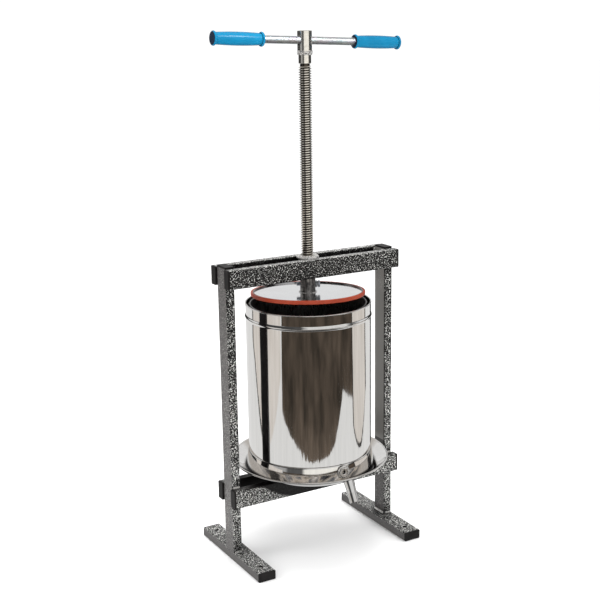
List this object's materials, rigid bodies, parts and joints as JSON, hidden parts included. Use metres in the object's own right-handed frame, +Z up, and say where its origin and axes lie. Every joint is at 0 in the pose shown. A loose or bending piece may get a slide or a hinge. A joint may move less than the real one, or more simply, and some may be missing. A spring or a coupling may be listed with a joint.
{
  "type": "basket wine press",
  "caption": "Free-standing screw press: welded tube frame, perforated basket in a plain steel casing on a drip tray with spout, press plate hung on a screw with a sliding bar handle.",
  "frame": {"origin": "on the floor plane, at the centre of the four floor-bolt holes, straight below the screw's axis", "axes": "+X along the cross beams to the right seen from the spout side, -Y towards the spout (front), +Z up along the screw's axis"},
  "size_m": [0.4426, 0.3661, 1.1252],
  "materials": {
    "hammer_paint": "hammered dark grey enamel with a fine silver and black speckle",
    "black_plastic": "satin moulded end caps",
    "weld_metal": "rippled weld beads under thin silver paint",
    "polished_steel": "mirror polished stainless sheet",
    "inner_steel": "satin stainless sheet of the basket",
    "screw_steel": "bright nickel-plated screw",
    "zinc": "zinc-plated bar, bolt and nut",
    "dark_steel": "bare dark steel sleeve",
    "silicone": "orange-red silicone",
    "blue_grip": "soft blue moulded grips"
  },
  "bodies": {
    "frame": {"left_foot": "hammer_paint", "right_foot": "hammer_paint", "left_upright": "hammer_paint", "right_upright": "hammer_paint", "front_top_beam": "hammer_paint", "rear_top_beam": "hammer_paint", "front_lower_beam": "hammer_paint", "rear_lower_beam": "hammer_paint", "foot_end_caps": "black_plastic", "upright_top_caps": "black_plastic", "top_beam_end_caps": "black_plastic", "lower_beam_end_caps": "black_plastic", "frame_weld_beads": "weld_metal", "screw_nut": "dark_steel", "nut_weld_beads": "weld_metal", "drip_tray": "polished_steel", "tray_spout": "polished_steel", "basket_stand": "polished_steel", "stand_outlet": "polished_steel"},
    "basket": {"basket_shell": "inner_steel", "basket_floor": "inner_steel"},
    "casing": {"casing_shell": "polished_steel"},
    "piston": {"piston_plate": "polished_steel", "piston_seal": "silicone", "piston_hub": "dark_steel", "piston_hub_weld": "weld_metal", "thrust_washer": "dark_steel", "retaining_bolt": "zinc", "lock_nut": "zinc"},
    "screw": {"screw_spindle": "screw_steel", "handle_hub": "screw_steel", "hub_weld_bead": "screw_steel"},
    "handle": {"handle_bar": "zinc", "left_grip": "blue_grip", "right_grip": "blue_grip"}
  },
  "joints": [
    {"name": "press_travel", "type": "slide", "parent": "frame", "child": "piston", "axis": [0, 0, 1], "range_m": [-0.276, 0.001]},
    {"name": "screw_turn", "type": "hinge", "parent": "piston", "child": "screw", "pos_m": [0, 0, 0.59], "axis": [0, 0, 1], "range_deg": [-19800, 0]},
    {"name": "handle_slide", "type": "slide", "parent": "screw", "child": "handle", "axis": [0.9992, 0, -0.0391], "range_m": [-0.103, 0.081]},
    {"name": "basket_lift", "type": "slide", "parent": "frame", "child": "basket", "axis": [0, 0, 1], "range_m": [0, 0.052]},
    {"name": "casing_lift", "type": "slide", "parent": "frame", "child": "casing", "axis": [0, 0, 1], "range_m": [0, 0.052]}
  ],
  "couplings": [
    {"joint": "press_travel", "follows": "screw_turn", "m_per_rad": 0.00079577}
  ]
}
